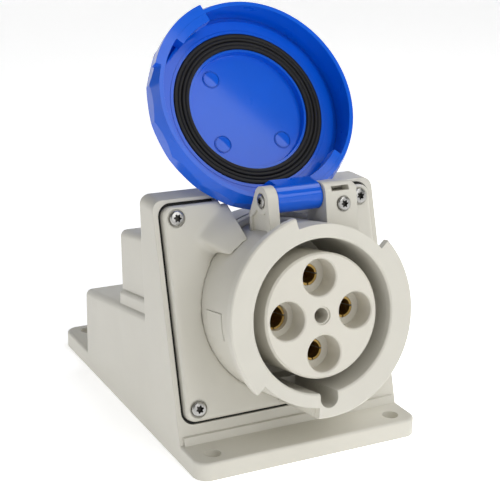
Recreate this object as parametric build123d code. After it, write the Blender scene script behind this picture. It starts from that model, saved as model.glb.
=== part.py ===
from build123d import *
import math
import os

# Surface mounting pin and sleeve receptacle, 63 A, four poles, with a bayonet lid.
# Millimetres. The wall face of the base lies on Z = 0 and +Y points to the rear end.
# The origin is the centre of the four fixing holes.

# Base housing
BASE_WIDTH = 120.0
BASE_LENGTH = 188.0
BASE_CORNER = 7.0
FLANGE_THICKNESS = 9.0
FLANGE_EDGE = 1.4
FIXING_PITCH_X = 98.0
FIXING_PITCH_Y = 170.0
FIXING_HOLE = 8.0
WALL = 3.5
LIP_FOOT = -75.0
COVER_TILT = 16.6
TOWER_TOP = 119.8
TOWER_CORNER = 5.0
TOWER_REAR = -32.0
TOWER_LEAN = 0.096
SADDLE_HALF = 24.0
STEP_EDGE = 3.5
STEP_FALL = 0.168
LOW_REAR = 57.0
LOW_TOP = 45.4
MID_INSET = 4.0
MID_REAR = 8.5
MID_TOP = 91.0
MID_LEAN = 0.061
LEDGE_INSET = 2.0
LEDGE_REAR = 10.0
LEDGE_HEIGHT = 7.0
LEDGE_EDGE = 2.5
FOOT_RISE = 12.8
FOOT_PROUD = 1.6
FOOT_HALF = 58.0
HOOD_RADIUS = 45.4
REBATE_DEPTH = 4.0
LANDING_WIDTH = 8.5
LANDING_THICKNESS = 5.0
BOSS_RADIUS = 7.0
BOSS_LENGTH = 18.0

# Cover plate, its seal and its screws
COVER_WIDTH = 112.0
COVER_HEIGHT = 102.2
COVER_CORNER = 5.0
COVER_EDGE = 1.6
COVER_PROUD = 3.9
COVER_SKIN = 3.5
COVER_GAP = 1.5
COVER_RISE = 69.0
NOTCH_FLARE = 5.0
NOTCH_BEND = 41.0
SEAL_THICKNESS = 1.2
SEAL_MARGIN = 1.0
SCREW_INSET_X = 6.1
SCREW_INSET_Y = 6.0
SCREW_SHANK = 1.9
SCREW_HEAD = 3.65
SCREW_RECESS = 4.3
SCREW_RECESS_DEPTH = 1.0
SCREW_HOLE_SPARE = 0.2
SCREW_HEIGHT = 2.6
SCREW_BITE = 10.0
SCREW_TIP_SPARE = 2.0
SMALL_SHANK = 1.4
SMALL_HEAD = 2.4
SMALL_HEAD_HEIGHT = 1.8

# Socket
SOCKET_TILT = 10.9
AXIS_DROP = 2.5
COLLAR_REACH = 41.1
COLLAR_RADIUS = 42.5
PASSAGE_SPARE = 3.0
TUBE_RADIUS = 41.6
TUBE_LENGTH = 52.0
BORE_RADIUS = 36.0
RIM_CHAMFER = 0.7
CAM_RADIUS = 47.7
CAM_THICKNESS = 4.0
LEFT_CAM = (-130.0, -14.0)
RIGHT_CAM = (50.0, 187.4)
KEY_STOP_SPAN = 7.4
KEY_STOP_DEPTH = 12.0
LUG_STOP = (91.0, 95.0)
LUG_STOP_DEPTH = 11.0
KEYWAY_WIDTH = 9.3
KEYWAY_RADIUS = 43.0
KEY_RIB_WIDTH = 15.0
KEY_RIB_RADIUS = 46.0
LOBE_CLOCK = 48.0
LOBE_FRONT = 27.0
LOBE_SLOPE = 0.69
LOBE_INNER = 22.5
LABEL_PAD = (-101.0, -84.0)
LABEL_RISE = 0.4

# Hinge
HINGE_RISE = 53.5
HINGE_BACK = 21.7
LID_OPEN = 201.4
HINGE_GAP = 0.3
EAR_INNER = 12.0
EAR_THICKNESS = 5.5
EAR_RADIUS = 6.8
EAR_FRONT = 14.0
EAR_REAR = 36.9
EAR_FOOT = 26.0
EAR_POCKET = 1.4
EAR_BACK_LEAN = 2.4
EAR_SHOULDER = 6.5
EAR_BORDER = 0.5
BLOCK_WIDTH = 16.8
BLOCK_FRONT = 13.4
BLOCK_REAR = 38.5
BLOCK_TOP = 59.5
BLOCK_CORNER = 5.0
BLOCK_FRONT_CORNER = 4.0
TOP_SLOT_X = (3.5, 12.8)
TOP_SLOT_DROP = (4.5, 2.2)
TOP_SLOT_DEPTH = 7.0
LOW_SLOT_X = (2.8, 8.5)
LOW_SLOT_RISE = (7.5, 12.0)
LOW_SLOT_DEPTH = 6.0
RELIEF_DROP = 6.5
RELIEF_WIDTH = 1.0
PIN_RADIUS = 2.5
PIN_CLEARANCE = 0.08
PIN_END = 27.0
PIN_HEAD = 3.3
PIN_HEAD_HEIGHT = 1.8
PIN_TIP_SPARE = 0.5
LOCK_HEAD_HEIGHT = 2.2
LOCK_LENGTH = 12.0
HEAD_RECESS = 3.75
HEAD_RECESS_DEPTH = 0.9
LOCK_SCREW_X = 21.4
LOCK_SCREW_RISE = 48.7

# Insert, contacts and terminals
INSERT_RADIUS = 29.3
INSERT_RECESS = 2.1
INSERT_EDGE = 0.9
INSERT_FLANGE = 5.0
INSERT_FLANGE_RADIUS = 40.8
INSERT_SCREW_RADIUS = 38.6
CONTACT_CIRCLE = 17.8
LINE_CLOCKS = (0.0, 90.0, 180.0)
EARTH_CLOCK = -90.0
COUNTERBORE = 17.3
EARTH_COUNTERBORE = 17.9
COUNTERBORE_DEPTH = 12.0
LINE_BORE = 8.05
EARTH_BORE = 10.05
CONTACT_WALL = 1.0
CONTACT_SEAT = 0.15
MOUTH_EDGE = 0.6
EARTH_SETBACK = 3.0
SOCKET_DEPTH = 38.0
CONTACT_REAR = 90.0
SHOULDER = 1.5
SHOULDER_THICKNESS = 3.0
SLIT_WIDTH = 0.8
SLIT_DEPTH = 24.0
PILOT_MOUTH = 8.7
PILOT_HOLE = 7.0
PILOT_BORE = 5.0
PILOT_SETBACK = 16.0
PILOT_CLOCK = 45.0
CARRIER_RADIUS = 30.0
CARRIER_LENGTH = 27.0
CARRIER_SCREW_RADIUS = 23.0
CARRIER_PILOT_DEPTH = 8.0
TERMINAL_PLACES = (9.0, 19.0)
TERMINAL_HEAD = 3.0
TERMINAL_HEAD_HEIGHT = 2.2
WINDOW_SPARE = 0.4
WIRE_BORE = 3.0

# Lid and bayonet ring
GASKET_OUTER = 39.4
GASKET_INNER = 31.2
GASKET_TOP = -0.3
GROOVE_FLOOR = -4.0
LID_FLOOR = -5.0
LID_RIM = -0.8
LID_FLANGE_TOP = -1.0
LID_FLANGE_BACK = -2.6
LID_FLANGE_RADIUS = 46.2
LID_NECK_END = -7.5
LID_NECK_RADIUS = 42.0
LID_BACK_RADIUS = 44.3
MARK_RADIUS = 4.5
MARK_CIRCLE = 23.0
MARK_CLOCKS = (-40.0, 136.0, -134.0)
MARK_RISE = 0.35
RING_INNER = 48.7
RING_RIM = 11.5
RING_RIM_RADIUS = 50.8
RING_WALL_RADIUS = 54.4
RING_FLAT_RADIUS = 52.6
RING_BACK_RADIUS = 50.2
RING_SHOULDER_RADIUS = 52.8
RING_SHOULDER = -0.8
RING_WIDEST = 1.6
RING_SIDES = 18
RING_TWIST = 5.0
RING_BACK = -3.9
RING_LIP = 1.0
RING_PLAY = 0.3
LUG_INNER = 44.6
LUG_BACK = 4.6
LUG_A = (-47.0, -21.0)
LUG_B = (131.0, 163.0)
GRIP_PAD = (-66.0, -21.0)
GRIP_PAD_RADIUS = 53.6
GRIP_PAD_BACK = 6.0
ARM_LEFT = -9.5
ARM_RIGHT = 11.7
ARM_INNER = 43.3
ARM_OUTER = 47.9
ARM_FRONT = 19.0
RIM_PASS = 12.1
BARREL_RADIUS = 6.5

# Cable entry
ENTRY_RADIUS = 16.0
ENTRY_RISE = 27.0
ENTRY_BOSS = 3.0
ENTRY_DEPTH = 12.0
ENTRY_HEAD = 17.6
ENTRY_HEAD_HEIGHT = 4.0
ENTRY_SEAL_THICKNESS = 1.5


# Frames
def leaning(point, tilt):
    """Plane with X to the right, Y up its slope and Z to the front, raised by tilt degrees."""
    angle = math.radians(tilt)
    return Plane(origin=point, x_dir=(1, 0, 0), z_dir=(0, -math.cos(angle), math.sin(angle)))


def lip_y(z, behind=0.0):
    """Y of the leaning front of the housing at height z, some way behind its lip."""
    angle = math.radians(COVER_TILT)
    return LIP_FOOT + z * math.tan(angle) + behind / math.cos(angle)


def placed(frame, x, y, z):
    """World place of a point given in a frame."""
    return frame.origin + frame.x_dir * x + frame.y_dir * y + frame.z_dir * z


COVER = leaning((0, lip_y(COVER_RISE, -COVER_PROUD), COVER_RISE), COVER_TILT)
SOCKET_AXES = leaning((0, 0, 0), SOCKET_TILT)
SOCKET_FACE = placed(COVER, 0, -AXIS_DROP, 0) + SOCKET_AXES.z_dir * COLLAR_REACH
SOCKET = leaning(SOCKET_FACE, SOCKET_TILT)
HINGE = placed(SOCKET, 0, HINGE_RISE, -HINGE_BACK)
PIN = Plane(origin=HINGE, x_dir=(0, 1, 0), z_dir=(1, 0, 0))
LID_TILT = SOCKET_TILT + LID_OPEN - 180
LID_AXES = leaning((0, 0, 0), LID_TILT)
LID = leaning(HINGE + LID_AXES.y_dir * HINGE_RISE - LID_AXES.z_dir * HINGE_BACK, LID_TILT)
ENTRY = Plane(origin=(0, LOW_REAR, ENTRY_RISE), x_dir=(-1, 0, 0), z_dir=(0, 1, 0))


# Shapes in a frame
def rod(frame, radius, low, high, x=0.0, y=0.0):
    return frame.location * Pos(x, y, low) * extrude(Circle(radius), high - low)


def block(frame, x_range, y_range, z_range):
    ranges = (x_range, y_range, z_range)
    middle = [(low + high) / 2 for low, high in ranges]
    spans = [high - low for low, high in ranges]
    return frame.location * Pos(*middle) * Box(*spans)


def turned(frame, points, x=0.0, y=0.0):
    """Solid of revolution round the frame's Z from (radius, height) points."""
    profile = Plane.XZ * make_face(Polyline(*points, close=True))
    return frame.location * Pos(x, y, 0) * revolve(profile, Axis.Z)


def sector(frame, r_range, z_range, clocks):
    """Part of a ring between two clock angles, clockwise from the frame's Y."""
    (r0, r1), (z0, z1) = r_range, z_range
    section = Plane.XZ * Pos((r0 + r1) / 2, (z0 + z1) / 2) * Rectangle(r1 - r0, z1 - z0)
    part = revolve(section, Axis.Z, clocks[1] - clocks[0])
    return frame.location * Rot(0, 0, 90 - clocks[1]) * part


def side_slab(frame, sketch, x_range):
    """Side view sketch, forward along the frame's Z and up its Y, run between two X places."""
    start = frame.origin + frame.x_dir * x_range[1]
    side = Plane(origin=start, x_dir=frame.z_dir, z_dir=-frame.x_dir)
    return side.location * extrude(sketch, x_range[1] - x_range[0])


def side_hull(circles, points):
    """Convex outline round circles (x, y, radius) and points."""
    edges = [(Pos(x, y) * Circle(radius)).edge() for x, y, radius in circles]
    edges += [Line(a, b).edge() for a, b in zip(points, points[1:])]
    return make_hull(edges)


def polar(radius, clock):
    angle = math.radians(90 - clock)
    return radius * math.cos(angle), radius * math.sin(angle)


def screw(head_radius, head_height, shank_radius, length):
    """Pan-head screw with a star recess: seat on Z = 0, head above and shank below."""
    head = extrude(Circle(head_radius), head_height)
    head = fillet(head.edges().group_by(Axis.Z)[-1], head_height * 0.55)
    size = head_radius * 0.38
    star = Circle(size)
    for place in PolarLocations(size, 6):
        star += place * Circle(size * 0.38)
    head -= Pos(0, 0, head_height * 0.45) * extrude(star, head_height)
    return head + Pos(0, 0, -length) * extrude(Circle(shank_radius), length)


# Base housing
def step(x_range, rear, lean, top, fall, inset, behind):
    """Box with a leaning front, a nearly upright rear and a top that falls to the rear."""
    slope = math.tan(math.radians(COVER_TILT))
    foot = rear - inset
    roof = top - inset
    back = foot + lean * roof
    front_top = (roof + fall * (back - lip_y(0, behind))) / (1 + fall * slope)
    outline = Polyline(
        (lip_y(inset, behind), inset), (foot + lean * inset, inset), (back, roof),
        (lip_y(front_top, behind), front_top), close=True)
    low, high = x_range[0] + inset, x_range[1] - inset
    return Pos(low, 0, 0) * extrude(Plane.YZ * make_face(outline), high - low)


def softened(solid, radius):
    """Round the top and rear edges of a step, but not those of its leaning front."""
    chosen = []
    for edge in solid.edges():
        middle = edge.center()
        if middle.Z > FLANGE_THICKNESS and middle.Y > lip_y(middle.Z) + radius:
            chosen.append(edge)
    return fillet(chosen, radius)


def steps(inset, behind):
    """The low step, the middle step and the two towers, as overlapping boxes."""
    half = BASE_WIDTH / 2
    mid = half - MID_INSET
    low_step = step((-half, half), LOW_REAR, 0.0, LOW_TOP, STEP_FALL, inset, behind)
    mid_step = step((-mid, mid), MID_REAR, MID_LEAN, MID_TOP, STEP_FALL, inset, behind)
    left, right = [
        step(span, TOWER_REAR, TOWER_LEAN, TOWER_TOP, 0.0, inset, behind)
        for span in ((-half, -SADDLE_HALF), (SADDLE_HALF, half))]
    return [low_step, mid_step, left, right]


def hood(inset, behind):
    """Round arch over the socket between the towers."""
    full = BASE_WIDTH / 2 + inset
    reach = step((-full, full), TOWER_REAR, TOWER_LEAN, TOWER_TOP, 0.0, inset, behind)
    return reach & rod(SOCKET, HOOD_RADIUS - inset, -3 * TUBE_LENGTH, 0)


def ledge():
    """Shallow plinth along the foot of the middle step."""
    half = BASE_WIDTH / 2 - LEDGE_INSET
    top = LOW_TOP + (LOW_REAR - LEDGE_REAR) * STEP_FALL + LEDGE_HEIGHT
    body = step((-half, half), LEDGE_REAR, 0.0, top, STEP_FALL, 0.0, WALL)
    return softened(body, LEDGE_EDGE)


def front_foot():
    """Low plinth along the foot of the leaning front."""
    outline = Polyline(
        (lip_y(0, 1.0), 0), (lip_y(0, -FOOT_PROUD), 0), (lip_y(FOOT_RISE, -FOOT_PROUD), FOOT_RISE),
        (lip_y(FOOT_RISE, 1.0), FOOT_RISE), close=True)
    return Pos(-FOOT_HALF, 0, 0) * extrude(Plane.YZ * make_face(outline), 2 * FOOT_HALF)


def screw_places():
    half_x, half_y = COVER_WIDTH / 2 - SCREW_INSET_X, COVER_HEIGHT / 2 - SCREW_INSET_Y
    return [(x, y) for x in (-half_x, half_x) for y in (-half_y, half_y)]


def cover_outline(margin):
    width = COVER_WIDTH + 2 * margin
    height = COVER_HEIGHT + 2 * margin
    return RectangleRounded(width, height, COVER_CORNER + margin)


REBATE_FLOOR = -COVER_PROUD - REBATE_DEPTH
COVER_BACK = REBATE_FLOOR + SEAL_THICKNESS
OPENING_X = COVER_WIDTH / 2 + COVER_GAP - LANDING_WIDTH
OPENING_Y = COVER_HEIGHT / 2 + COVER_GAP - LANDING_WIDTH
CHEEK_X = SADDLE_HALF + WALL


def front_opening():
    """Way through the landing: full width below, and beside the saddle above."""
    depth = (REBATE_FLOOR - LANDING_THICKNESS - 1, 0)
    full = (-OPENING_X, OPENING_X)
    arch = rod(SOCKET, HOOD_RADIUS - WALL, -2 * TUBE_LENGTH, 0)
    opening = arch & block(COVER, full, (-COVER_HEIGHT, COVER_HEIGHT), depth)
    opening += block(COVER, full, (-OPENING_Y, AXIS_DROP), depth)
    opening += block(COVER, (-OPENING_X, -CHEEK_X), (0, OPENING_Y), depth)
    opening += block(COVER, (CHEEK_X, OPENING_X), (0, OPENING_Y), depth)
    return opening


def screw_bosses():
    low = REBATE_FLOOR - BOSS_LENGTH
    return [rod(COVER, BOSS_RADIUS, low, 0, x, y) for x, y in screw_places()]


def cavity():
    behind = REBATE_DEPTH + LANDING_THICKNESS
    room = hood(WALL, behind) + steps(WALL, behind)
    room += front_opening()
    room -= screw_bosses()
    return room - rod(ENTRY, ENTRY_RADIUS + ENTRY_BOSS, -ENTRY_DEPTH, 0)


def base_housing():
    plate = extrude(RectangleRounded(BASE_WIDTH, BASE_LENGTH, BASE_CORNER), FLANGE_THICKNESS)
    body = fillet(plate.edges().group_by(Axis.Z)[-1], FLANGE_EDGE)
    radii = (STEP_EDGE, STEP_EDGE, TOWER_CORNER, TOWER_CORNER)
    body += [softened(form, radius) for form, radius in zip(steps(0.0, 0.0), radii)]
    body += hood(0.0, 0.0)
    body += ledge()
    body += front_foot()
    body -= cavity()
    recess = extrude(cover_outline(COVER_GAP), REBATE_DEPTH + 2 * COVER_PROUD)
    body -= COVER.location * Pos(0, 0, REBATE_FLOOR) * recess
    low = REBATE_FLOOR - BOSS_LENGTH + SCREW_TIP_SPARE
    body -= [rod(COVER, SCREW_SHANK, low, 0, x, y) for x, y in screw_places()]
    holes = GridLocations(FIXING_PITCH_X, FIXING_PITCH_Y, 2, 2)
    body -= [place * Cylinder(FIXING_HOLE / 2, 3 * FLANGE_THICKNESS) for place in holes]
    return body - rod(ENTRY, ENTRY_RADIUS, -ENTRY_DEPTH - 1, 1)


def housing_seal():
    """Flat seal on the landing inside the rebate."""
    sheet = extrude(cover_outline(-SEAL_MARGIN), SEAL_THICKNESS)
    sheet = COVER.location * Pos(0, 0, REBATE_FLOOR) * sheet
    sheet = sheet & (hood(SEAL_MARGIN, 0.0) + steps(SEAL_MARGIN, 0.0))
    sheet -= front_opening() - screw_bosses()
    hole = SCREW_SHANK + SCREW_HOLE_SPARE
    return sheet - [rod(COVER, hole, REBATE_FLOOR - 1, 0, x, y) for x, y in screw_places()]


# Socket cover
def cover_plate():
    plate = extrude(cover_outline(0.0), -COVER_BACK)
    plate = fillet(plate.edges().group_by(Axis.Z)[-1], COVER_EDGE)
    plate = COVER.location * Pos(0, 0, COVER_BACK) * plate
    half, top = SADDLE_HALF - COVER_GAP, COVER_HEIGHT / 2 + 1
    flare = half + NOTCH_FLARE
    outline = make_face(Polyline(
        (-half, 0), (half, 0), (half, NOTCH_BEND), (flare, top), (-flare, top),
        (-half, NOTCH_BEND), close=True))
    notch = COVER.location * Pos(0, 0, COVER_BACK - 1) * extrude(outline, 1 - COVER_BACK + 1)
    plate -= notch - rod(SOCKET, HOOD_RADIUS, -3 * TUBE_LENGTH, 0)
    full_x, full_y = (-OPENING_X, OPENING_X), (-OPENING_Y, OPENING_Y)
    hollow = front_opening() & block(COVER, full_x, full_y, (COVER_BACK - 1, -COVER_SKIN))
    return plate - (hollow - screw_bosses())


def lobe(sign):
    """Fairing from the collar to the plate beside the saddle."""
    back = TUBE_LENGTH + 4
    cone = turned(SOCKET, [
        (0, -LOBE_FRONT), (COLLAR_RADIUS, -LOBE_FRONT),
        (COLLAR_RADIUS + (back - LOBE_FRONT) * LOBE_SLOPE, -back), (0, -back)])
    clocks = sorted((sign * LOBE_CLOCK, sign * 10.0))
    wedge = sector(SOCKET, (COLLAR_RADIUS / 2, COVER_WIDTH), (-back, 0), clocks)
    side = sorted((sign * LOBE_INNER, sign * (COVER_WIDTH / 2 - COVER_EDGE)))
    front = block(COVER, side, (0, COVER_HEIGHT / 2 - COVER_EDGE), (-COVER_SKIN, COLLAR_REACH))
    return cone & wedge & front


def hinge_ear():
    """Left ear, with a shallow pocket in its outer face and a boss round the pin."""
    outline = side_hull(
        [(-HINGE_BACK, HINGE_RISE, EAR_RADIUS)],
        [(-EAR_FRONT, EAR_FOOT), (-EAR_REAR, EAR_FOOT),
         (-EAR_REAR + EAR_BACK_LEAN, HINGE_RISE - EAR_SHOULDER)])
    outer = -EAR_INNER - EAR_THICKNESS
    ear = side_slab(SOCKET, outline, (outer, -EAR_INNER))
    pocket = make_face(Polyline(
        (-EAR_FRONT - 3.4, EAR_FOOT), (-EAR_REAR + 2, EAR_FOOT),
        (-EAR_REAR + 4.2, HINGE_RISE - 8), (-HINGE_BACK - 3, HINGE_RISE - 3),
        (-HINGE_BACK + 3.5, HINGE_RISE - 4), close=True))
    pocket -= Pos(-HINGE_BACK, HINGE_RISE) * Circle(EAR_RADIUS - EAR_BORDER)
    ear -= side_slab(SOCKET, pocket, (outer, outer + EAR_POCKET))
    ear -= rod(SOCKET, COLLAR_RADIUS, -TUBE_LENGTH, 0)
    ear -= rod(PIN, PIN_RADIUS, outer - 1, 0)
    return ear - rod(PIN, HEAD_RECESS, outer - 1, outer + HEAD_RECESS_DEPTH)


def hinge_block():
    """Right hinge block, with its slots and the seat of its screw."""
    right = EAR_INNER + BLOCK_WIDTH
    crown = BLOCK_TOP - BLOCK_CORNER
    outline = side_hull(
        [(-BLOCK_FRONT - BLOCK_CORNER, crown, BLOCK_CORNER), (-26, crown, BLOCK_CORNER)],
        [(-BLOCK_FRONT, EAR_FOOT - 2), (-BLOCK_REAR, EAR_FOOT - 2)])
    body = side_slab(SOCKET, outline, (EAR_INNER, right))
    front = extrude(RectangleRounded(2 * right, 2 * BLOCK_TOP, BLOCK_FRONT_CORNER), 60)
    body = body & (SOCKET.location * Pos(0, 0, -60) * front)
    body -= rod(SOCKET, COLLAR_RADIUS, -TUBE_LENGTH, 0)
    body -= lobe(1)
    top_x = [EAR_INNER + x for x in TOP_SLOT_X]
    top_y = [BLOCK_TOP - drop for drop in TOP_SLOT_DROP]
    body -= block(SOCKET, top_x, top_y, (-BLOCK_FRONT - TOP_SLOT_DEPTH, 0))
    low_x = [EAR_INNER + x for x in LOW_SLOT_X]
    low_y = [EAR_FOOT + rise for rise in LOW_SLOT_RISE]
    body -= block(SOCKET, low_x, low_y, (-BLOCK_FRONT - LOW_SLOT_DEPTH, 0))
    top, bend = HINGE_RISE - RELIEF_DROP, -BLOCK_REAR + 8.7
    relief = make_face(Polyline(
        (-HINGE_BACK, top), (bend, top - 9), (bend, EAR_FOOT), (-BLOCK_REAR - 1, EAR_FOOT),
        (-BLOCK_REAR - 1, top), close=True))
    body -= side_slab(SOCKET, relief, (EAR_INNER - RELIEF_WIDTH, EAR_INNER + RELIEF_WIDTH))
    seat = -BLOCK_FRONT - HEAD_RECESS_DEPTH
    body -= rod(SOCKET, HEAD_RECESS, seat, 0, LOCK_SCREW_X, LOCK_SCREW_RISE)
    low = seat - LOCK_LENGTH - SCREW_TIP_SPARE
    body -= rod(SOCKET, SCREW_SHANK, low, 0, LOCK_SCREW_X, LOCK_SCREW_RISE)
    return body - rod(PIN, PIN_RADIUS, 0, PIN_END)


def collar():
    """Round wall of the socket and the tube behind it, still solid."""
    front = block(COVER, (-60, 60), (-60, 60), (-COVER_SKIN, 2 * COLLAR_REACH))
    outside = rod(SOCKET, COLLAR_RADIUS, -TUBE_LENGTH, -CAM_THICKNESS) & front
    return outside + rod(SOCKET, TUBE_RADIUS, -TUBE_LENGTH, -CAM_THICKNESS)


def cams():
    """The two bayonet cams, the stop beside the keyway and the one that ends the turn."""
    band = (BORE_RADIUS + 2, CAM_RADIUS)
    key_stop = (RIGHT_CAM[1] - KEY_STOP_SPAN, RIGHT_CAM[1])
    return [
        sector(SOCKET, band, (-CAM_THICKNESS, 0), LEFT_CAM),
        sector(SOCKET, band, (-CAM_THICKNESS, 0), RIGHT_CAM),
        sector(SOCKET, band, (-KEY_STOP_DEPTH, 0), key_stop),
        sector(SOCKET, band, (-LUG_STOP_DEPTH, 0), LUG_STOP)]


def rim_bevel():
    """Cutters that break the inner and outer edges of the ring face."""
    c = RIM_CHAMFER
    inner = [(BORE_RADIUS + c, 0), (BORE_RADIUS - c, 0), (BORE_RADIUS - c, -2 * c)]
    outer = [(CAM_RADIUS - c, 0), (CAM_RADIUS + c, 0), (CAM_RADIUS + c, -2 * c)]
    return [turned(SOCKET, inner), turned(SOCKET, outer)]


def keyway():
    """Cutter of the round-bottomed keyway at six o'clock."""
    centre = KEYWAY_RADIUS - KEYWAY_WIDTH / 2
    half = KEYWAY_WIDTH / 2
    slot = block(SOCKET, (-half, half), (-centre, -BORE_RADIUS + 3), (-COLLAR_REACH, 1))
    return slot + rod(SOCKET, half, -COLLAR_REACH, 1, 0, -centre)


def key_rib():
    """Raised back of the keyway along the underside of the collar."""
    rib = (-KEY_RIB_WIDTH / 2, KEY_RIB_WIDTH / 2)
    return block(SOCKET, rib, (-KEY_RIB_RADIUS, -BORE_RADIUS), (-COLLAR_REACH, -CAM_THICKNESS))


def socket_cover():
    body = cover_plate() + lobe(-1)
    body += lobe(1)
    behind = REBATE_FLOOR - COLLAR_REACH - PASSAGE_SPARE
    body -= rod(SOCKET, COLLAR_RADIUS, behind, 1)
    body -= key_rib()
    for x, y in screw_places():
        body -= rod(COVER, SCREW_SHANK + SCREW_HOLE_SPARE, COVER_BACK - 1, 1, x, y)
        body -= rod(COVER, SCREW_RECESS, -SCREW_RECESS_DEPTH, 1, x, y)
    return body - hinge_ear()


def socket_shroud():
    body = collar() + key_rib()
    pad = (BORE_RADIUS + 2, COLLAR_RADIUS + LABEL_RISE)
    body += sector(SOCKET, pad, (-36, -20), LABEL_PAD)
    body -= rod(SOCKET, BORE_RADIUS, -TUBE_LENGTH, 1)
    body -= keyway()
    low = -TUBE_LENGTH + SCREW_BITE + SCREW_TIP_SPARE
    for x, y in insert_screw_places():
        body -= rod(SOCKET, SMALL_SHANK, -TUBE_LENGTH, low, x, y)
    return body


def bayonet_cams():
    """Face ring of the socket with its two cams and its two stops."""
    body = rod(SOCKET, COLLAR_RADIUS, -CAM_THICKNESS, 0) + cams()
    body -= rod(SOCKET, COLLAR_RADIUS, -TUBE_LENGTH, -CAM_THICKNESS)
    body -= key_rib()
    body -= rod(SOCKET, BORE_RADIUS, -TUBE_LENGTH, 1)
    body -= keyway()
    return body - rim_bevel()


def cover_screws():
    one = screw(SCREW_HEAD, SCREW_HEIGHT, SCREW_SHANK, BOSS_LENGTH)
    places = [Pos(x, y, -SCREW_RECESS_DEPTH) for x, y in screw_places()]
    return Compound([COVER.location * place * one for place in places])


def hinge_lock_screw():
    seat = Pos(LOCK_SCREW_X, LOCK_SCREW_RISE, -BLOCK_FRONT - HEAD_RECESS_DEPTH)
    return SOCKET.location * seat * screw(PIN_HEAD, LOCK_HEAD_HEIGHT, SCREW_SHANK, LOCK_LENGTH)


def hinge_pin():
    seat = EAR_INNER + EAR_THICKNESS - HEAD_RECESS_DEPTH
    flipped = Plane(origin=HINGE, x_dir=(0, 1, 0), z_dir=(-1, 0, 0))
    one = screw(PIN_HEAD, PIN_HEAD_HEIGHT, PIN_RADIUS, seat + PIN_END - PIN_TIP_SPARE)
    return flipped.location * Pos(0, 0, seat) * one


# Insert and contacts
INSERT_JOIN = -INSERT_RECESS - COUNTERBORE_DEPTH
INSERT_REAR = -TUBE_LENGTH - INSERT_FLANGE
SHOULDER_REAR = INSERT_REAR - SHOULDER_THICKNESS
CARRIER_REAR = INSERT_REAR - CARRIER_LENGTH


def insert_screw_places():
    return [polar(INSERT_SCREW_RADIUS, clock) for clock in (45, 135, 225, 315)]


def carrier_screw_places():
    return [polar(CARRIER_SCREW_RADIUS, clock) for clock in (-45, 135)]


def contact_places():
    """Clock angle, sleeve bore, counterbore and set-back of the four main contacts."""
    places = [(clock, LINE_BORE, COUNTERBORE, 0.0) for clock in LINE_CLOCKS]
    places.append((EARTH_CLOCK, EARTH_BORE, EARTH_COUNTERBORE, EARTH_SETBACK))
    return places


def sleeve_holes(low, high):
    """Cutters of the four sleeve holes and the pilot hole between two depths."""
    holes = [rod(SOCKET, PILOT_HOLE / 2, low, high)]
    for clock, bore, mouth, setback in contact_places():
        x, y = polar(CONTACT_CIRCLE, clock)
        holes.append(rod(SOCKET, bore / 2 + CONTACT_WALL + CONTACT_SEAT, low, high, x, y))
    return holes


def contact_insert():
    """Front of the insert, as deep as the counterbores round the contacts."""
    face = -INSERT_RECESS
    body = turned(SOCKET, [
        (0, face), (INSERT_RADIUS - INSERT_EDGE, face), (INSERT_RADIUS, face - INSERT_EDGE),
        (INSERT_RADIUS, INSERT_JOIN), (0, INSERT_JOIN)])
    for clock, bore, mouth, setback in contact_places():
        x, y = polar(CONTACT_CIRCLE, clock)
        radius = mouth / 2
        body -= turned(SOCKET, [
            (0, face), (radius + MOUTH_EDGE, face), (radius, face - MOUTH_EDGE), (radius, INSERT_JOIN),
            (0, INSERT_JOIN)], x, y)
    body -= rod(SOCKET, PILOT_MOUTH / 2, face - 1, face)
    return body - rod(SOCKET, PILOT_HOLE / 2, INSERT_JOIN, face)


def insert_rear():
    """Rear of the insert, with the holes that hold the sleeves."""
    body = rod(SOCKET, INSERT_RADIUS, -TUBE_LENGTH, INSERT_JOIN)
    body -= sleeve_holes(-TUBE_LENGTH, INSERT_JOIN)
    for x, y in carrier_screw_places():
        body -= rod(SOCKET, SMALL_SHANK, -TUBE_LENGTH, -TUBE_LENGTH + CARRIER_PILOT_DEPTH, x, y)
    return body


def insert_flange():
    """Disc behind the insert, screwed to the end of the tube."""
    body = rod(SOCKET, INSERT_FLANGE_RADIUS, INSERT_REAR, -TUBE_LENGTH)
    body -= sleeve_holes(INSERT_REAR, -TUBE_LENGTH)
    for x, y in insert_screw_places():
        body -= rod(SOCKET, SMALL_SHANK + SCREW_HOLE_SPARE, INSERT_REAR, -TUBE_LENGTH, x, y)
    for x, y in carrier_screw_places():
        body -= rod(SOCKET, SMALL_SHANK + SCREW_HOLE_SPARE, INSERT_REAR, -TUBE_LENGTH, x, y)
    return body


def terminal_planes(clock, circle, places):
    """Frames on a contact's axis whose Z points straight out from the socket's centre."""
    out_x, out_y = polar(1.0, clock)
    out = SOCKET.x_dir * out_x + SOCKET.y_dir * out_y
    centres = [placed(SOCKET, *polar(circle, clock), INSERT_REAR - place) for place in places]
    return [Plane(origin=centre, x_dir=SOCKET.z_dir, z_dir=out) for centre in centres]


def main_terminals(clock):
    return terminal_planes(clock, CONTACT_CIRCLE, TERMINAL_PLACES)


def pilot_terminals():
    return terminal_planes(PILOT_CLOCK, 0.0, TERMINAL_PLACES[:1])


def sleeve(clock, circle, radius, bore, front, depth, wire, terminals):
    """Contact sleeve with a trapped shoulder, a wire bore and tapped terminal holes."""
    x, y = polar(circle, clock)
    body = rod(SOCKET, radius, -CONTACT_REAR, front, x, y)
    body += rod(SOCKET, radius + SHOULDER, SHOULDER_REAR, INSERT_REAR, x, y)
    body -= rod(SOCKET, bore, front - depth, front, x, y)
    body -= rod(SOCKET, wire, -CONTACT_REAR, SHOULDER_REAR, x, y)
    body -= [rod(place, SCREW_SHANK, 0, radius + 1) for place in terminals]
    return body


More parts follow.
